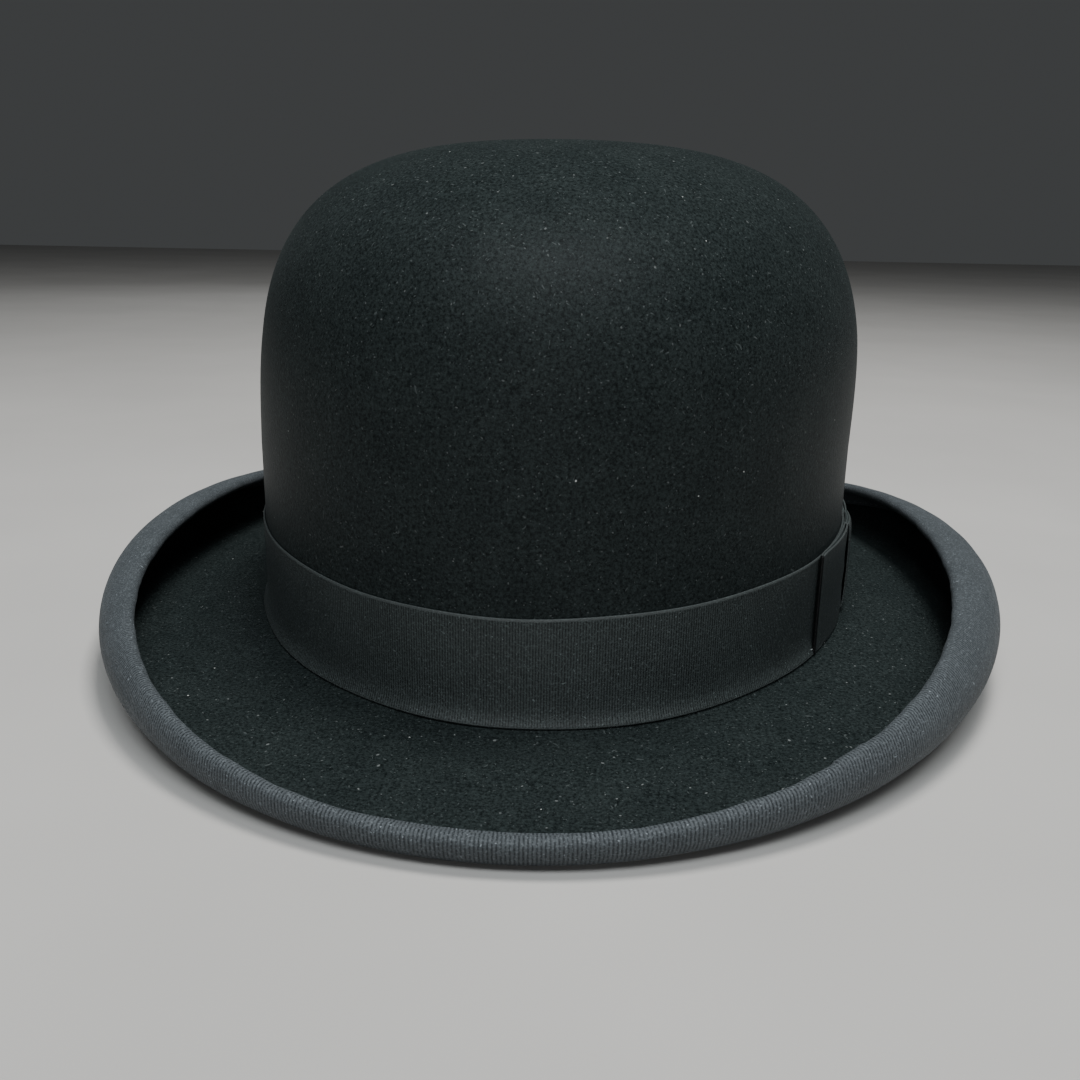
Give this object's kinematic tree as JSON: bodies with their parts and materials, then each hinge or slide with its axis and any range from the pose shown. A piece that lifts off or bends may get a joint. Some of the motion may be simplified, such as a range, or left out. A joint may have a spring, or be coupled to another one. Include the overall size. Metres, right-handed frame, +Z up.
{
  "type": "bowler hat",
  "caption": "Stiff round-crowned felt hat with a tightly curled, ribbon-bound brim, a grosgrain hatband with a flat side bow, a leather sweatband and a satin lining.",
  "frame": {"origin": "on the surface the hat stands on, under the middle of the brim's outline", "axes": "+Z up through the crown; -Y towards the front of the hat; +X towards the wearer's left, where the bow is"},
  "size_m": [0.2564, 0.3046, 0.1365],
  "materials": {
    "felt": "short-napped black fur felt",
    "binding_ribbon": "charcoal grosgrain, ribs across the ribbon",
    "hatband_ribbon": "black grosgrain, ribs across the ribbon",
    "thread": "black sewing thread",
    "leather": "tan roan leather",
    "leather_thread": "tan sewing thread",
    "reed": "smooth reed",
    "tape": "tan cotton tape",
    "small_ribbon": "black satin ribbon",
    "satin": "pale satin",
    "piping": "satin-covered cord",
    "label": "blank paper"
  },
  "bodies": {
    "root": {"felt_body": "felt", "brim_binding": "binding_ribbon", "binding_stitching": "thread", "hatband": "hatband_ribbon", "hatband_tacks": "thread", "bow_loops": "hatband_ribbon", "bow_knot": "hatband_ribbon", "bow_tacks": "thread", "sweatband": "leather", "sweatband_reed": "reed", "reed_tape": "tape", "sweatband_stitching": "leather_thread", "sweatband_seam_stitches": "leather_thread", "sweatband_bow": "small_ribbon", "sweatband_bow_knot": "small_ribbon", "lining_wall": "satin", "lining_tip": "satin", "lining_piping": "piping", "size_label": "label"}
  },
  "joints": []
}
